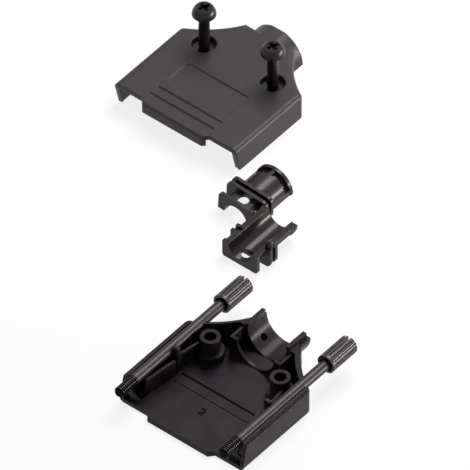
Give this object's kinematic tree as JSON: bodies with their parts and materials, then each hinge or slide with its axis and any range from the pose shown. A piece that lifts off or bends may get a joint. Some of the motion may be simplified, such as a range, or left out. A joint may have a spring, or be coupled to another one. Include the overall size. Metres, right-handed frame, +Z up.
{
  "type": "d-sub hood",
  "caption": "Split plastic hood for a D-shaped cable connector, laid out open beside its cable clamp halves, with long thumbscrews and cross-recess cover screws.",
  "frame": {"origin": "on the underside of the lower shell, midway between its two screw bosses", "axes": "+Z up from the table, +Y from the connector face towards the cable outlet, +X across the lower shell"},
  "size_m": [0.1072, 0.1256, 0.0204],
  "materials": {
    "shell_plastic": "fine moulded grain",
    "clamp_plastic": "satin moulded",
    "black_screw": "glossy black coating",
    "thumbscrew_metal": "glossy black coating",
    "knob_plastic": "smooth moulded"
  },
  "bodies": {
    "shells_and_clamps": {"lower_shell": "shell_plastic", "cover": "shell_plastic", "lower_cable_clamp": "clamp_plastic", "upper_cable_clamp": "clamp_plastic"},
    "left_thumbscrew": {"thumbscrew_left": "thumbscrew_metal", "thumb_knob_left": "knob_plastic"},
    "right_thumbscrew": {"thumbscrew_right": "thumbscrew_metal", "thumb_knob_right": "knob_plastic"},
    "left_cover_screw": {"cover_screw_left": "black_screw"},
    "right_cover_screw": {"cover_screw_right": "black_screw"}
  },
  "joints": [
    {"name": "left_thumbscrew_turn", "type": "hinge", "parent": "shells_and_clamps", "child": "left_thumbscrew", "pos_m": [-0.01666, 0, 0.0076], "axis": [0, -1, 0], "continuous": true},
    {"name": "right_thumbscrew_turn", "type": "hinge", "parent": "shells_and_clamps", "child": "right_thumbscrew", "pos_m": [0.01666, 0, 0.0076], "axis": [0, -1, 0], "continuous": true},
    {"name": "left_cover_screw_turn", "type": "hinge", "parent": "shells_and_clamps", "child": "left_cover_screw", "pos_m": [-0.07895, 0.08015, 0.005], "axis": [0, 0, 1], "continuous": true},
    {"name": "right_cover_screw_turn", "type": "hinge", "parent": "shells_and_clamps", "child": "right_cover_screw", "pos_m": [-0.05665, 0.08015, 0.005], "axis": [0, 0, 1], "continuous": true}
  ]
}
